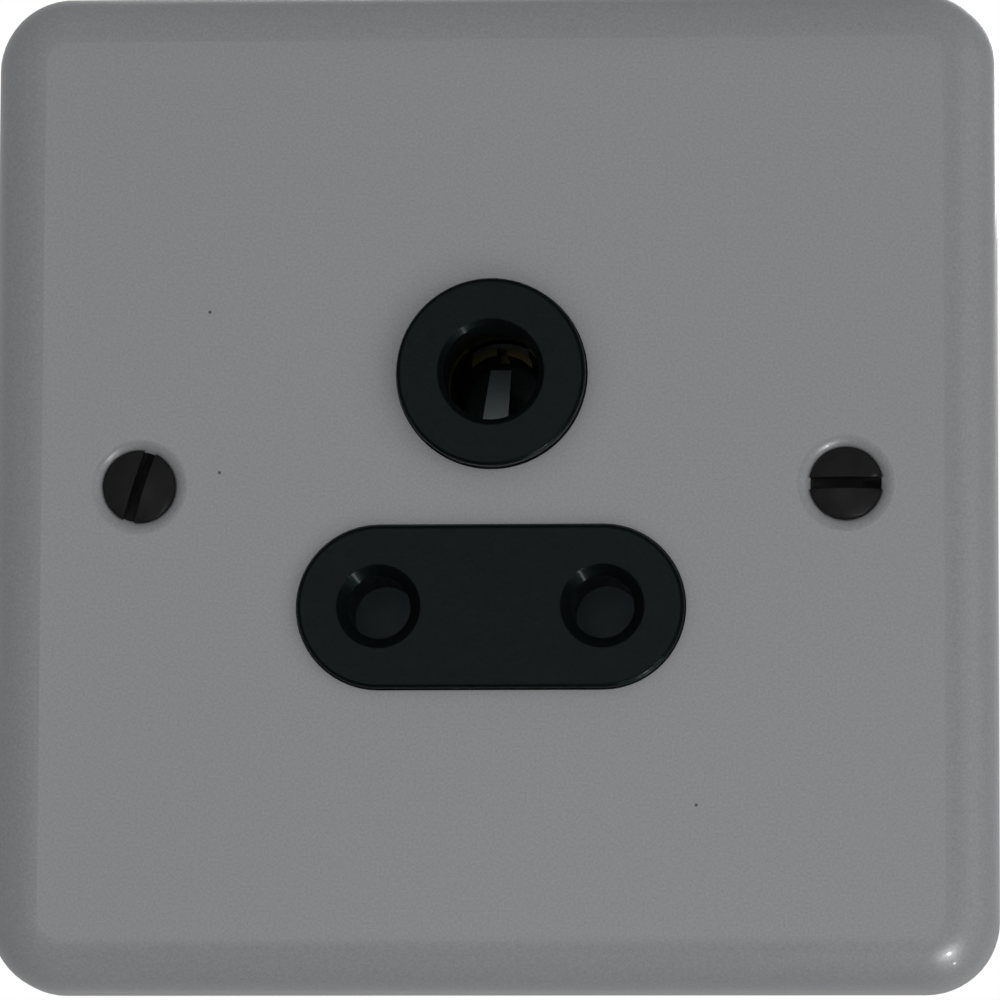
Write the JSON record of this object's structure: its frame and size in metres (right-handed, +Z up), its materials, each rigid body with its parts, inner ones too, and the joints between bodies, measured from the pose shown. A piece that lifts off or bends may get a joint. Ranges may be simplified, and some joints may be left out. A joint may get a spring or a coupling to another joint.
{
  "type": "round pin socket outlet",
  "caption": "Square pressed metal wall plate with a black insert of round pin holes, an earth-pin shutter behind them, screw terminals at the back and slotted fixing screws.",
  "frame": {"origin": "centre of the plate's rear rim, in the plane where it meets the wall, midway between the two fixing screws", "axes": "+X to the right seen from the front, +Y into the wall, +Z up with the earth hole at the top"},
  "size_m": [0.086, 0.0269, 0.086],
  "materials": {
    "plate_metal": "satin grey plated finish",
    "black_screw": "blackened steel",
    "black_moulding": "moulded black thermoset",
    "shutter_plastic": "moulded dark grey nylon",
    "spring_steel": "spring steel",
    "zinc_steel": "zinc plated steel",
    "brass": "machined brass",
    "contact_brass": "rolled brass strip",
    "tinned_brass": "tin plated brass strip"
  },
  "bodies": {
    "outlet": {"front_plate": "plate_metal", "fixing_screws": "black_screw", "insert_front": "black_moulding", "rear_base": "black_moulding", "shutter_spring": "spring_steel", "plate_pillars": "brass", "insert_screws": "zinc_steel", "case_screws": "zinc_steel", "terminal_screws": "zinc_steel", "earth_strap": "tinned_brass", "earth_contact": "contact_brass", "live_contact": "contact_brass", "neutral_contact": "contact_brass", "earth_clip": "spring_steel", "live_clip": "spring_steel", "neutral_clip": "spring_steel", "earth_terminal": "brass", "live_terminal": "brass", "neutral_terminal": "brass"},
    "shutter": {"shutter": "shutter_plastic"}
  },
  "joints": [
    {"name": "shutter_slide", "type": "slide", "parent": "outlet", "child": "shutter", "axis": [0, 0, -1], "range_m": [0, 0.0058], "stiffness_N_per_m": 120, "springref_m": -0.004, "deforming": ["shutter_spring"]}
  ]
}
